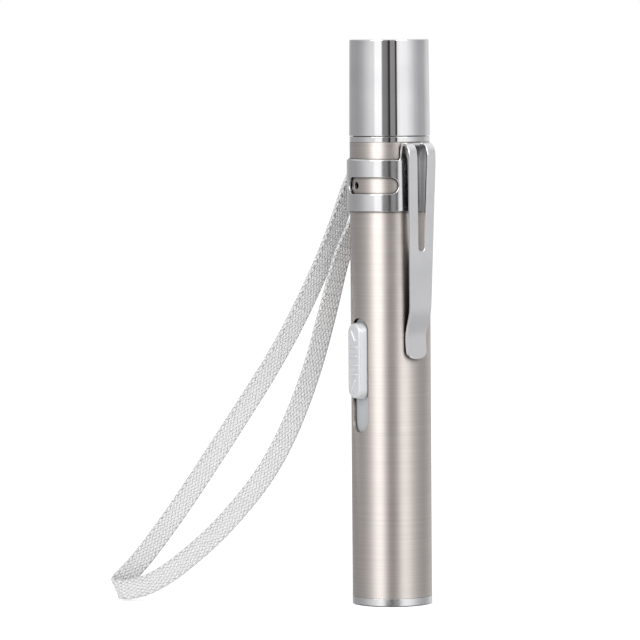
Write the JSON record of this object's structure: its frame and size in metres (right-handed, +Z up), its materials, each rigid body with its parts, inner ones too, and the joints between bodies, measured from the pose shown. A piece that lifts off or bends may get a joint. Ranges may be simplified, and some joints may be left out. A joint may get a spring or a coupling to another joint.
{
  "type": "examination penlight",
  "caption": "Slim metal penlight with a pull-off cap over a USB plug, a slide switch, a sprung pocket clip and a braided wrist lanyard.",
  "frame": {"origin": "on the pen's axis, in the plane of the rim that it stands on (the light end)", "axes": "+Z up the axis to the cap, +X to the clip, -Y to the slide switch, -X to the lanyard"},
  "size_m": [0.0439, 0.0444, 0.099],
  "materials": {
    "brushed_tube": "stainless steel tube, brushed round the axis",
    "chrome": "bright chrome plate",
    "clip_chrome": "satin-bright chrome plate on spring steel",
    "lens_clear": "clear polished window",
    "reflector_aluminium": "bright metallised cup",
    "white_phosphor": "white LED phosphor",
    "warm_phosphor": "warm LED phosphor",
    "board_white": "white solder mask",
    "board_green": "green solder mask",
    "fibre_washer": "fibre insulation",
    "cell_wrap": "shrink wrap on the cell",
    "nickel": "nickel strip",
    "wire_jacket": "PVC wire insulation",
    "chassis_plastic": "moulded natural ABS",
    "black_plastic": "moulded black plastic",
    "indicator_lens": "clear acrylic light pipe",
    "gold_contact": "gold-flashed contact",
    "tin_pin": "tinned pin",
    "plug_steel": "plated plug shell",
    "knob_silver": "satin silver-grey ABS",
    "shutter_grey": "light grey ABS",
    "strap_braid": "white braided polyester",
    "strap_weld": "heat-welded strap end"
  },
  "bodies": {
    "barrel": {"body_tube": "brushed_tube", "tail_bezel": "chrome", "lens_window": "lens_clear", "reflector": "reflector_aluminium", "led_board": "board_white", "white_led": "white_phosphor", "warm_led": "warm_phosphor", "insulating_washer": "fibre_washer", "battery_cell": "cell_wrap", "battery_tabs": "nickel", "led_wires": "wire_jacket", "inner_chassis": "chassis_plastic", "main_board": "board_green", "charger_chip": "black_plastic", "indicator_led": "white_phosphor", "light_pipe": "indicator_lens", "slide_switch": "black_plastic", "switch_pins": "tin_pin", "plug_holder": "chassis_plastic", "collar_ring": "chrome", "usb_core": "black_plastic", "usb_shell": "plug_steel", "usb_contacts": "gold_contact", "clip_band": "chrome", "lanyard_strap": "strap_braid", "lanyard_joint": "strap_weld"},
    "cap": {"cap_shell": "chrome"},
    "slider": {"switch_knob": "knob_silver", "switch_shutter": "shutter_grey", "switch_lever": "black_plastic"},
    "clip": {"clip_arm": "clip_chrome"}
  },
  "joints": [
    {"name": "cap_pull", "type": "slide", "parent": "barrel", "child": "cap", "axis": [0, 0, 1], "range_m": [0, 0.02]},
    {"name": "switch_slide", "type": "slide", "parent": "barrel", "child": "slider", "axis": [0, 0, 1], "range_m": [-0.0056, 0]},
    {"name": "clip_flex", "type": "hinge", "parent": "barrel", "child": "clip", "pos_m": [0.00778, 0, 0.08075], "axis": [0, -1, 0], "range_deg": [0, 6], "stiffness_Nm_per_rad": 1.8, "springref_deg": -1.72}
  ]
}
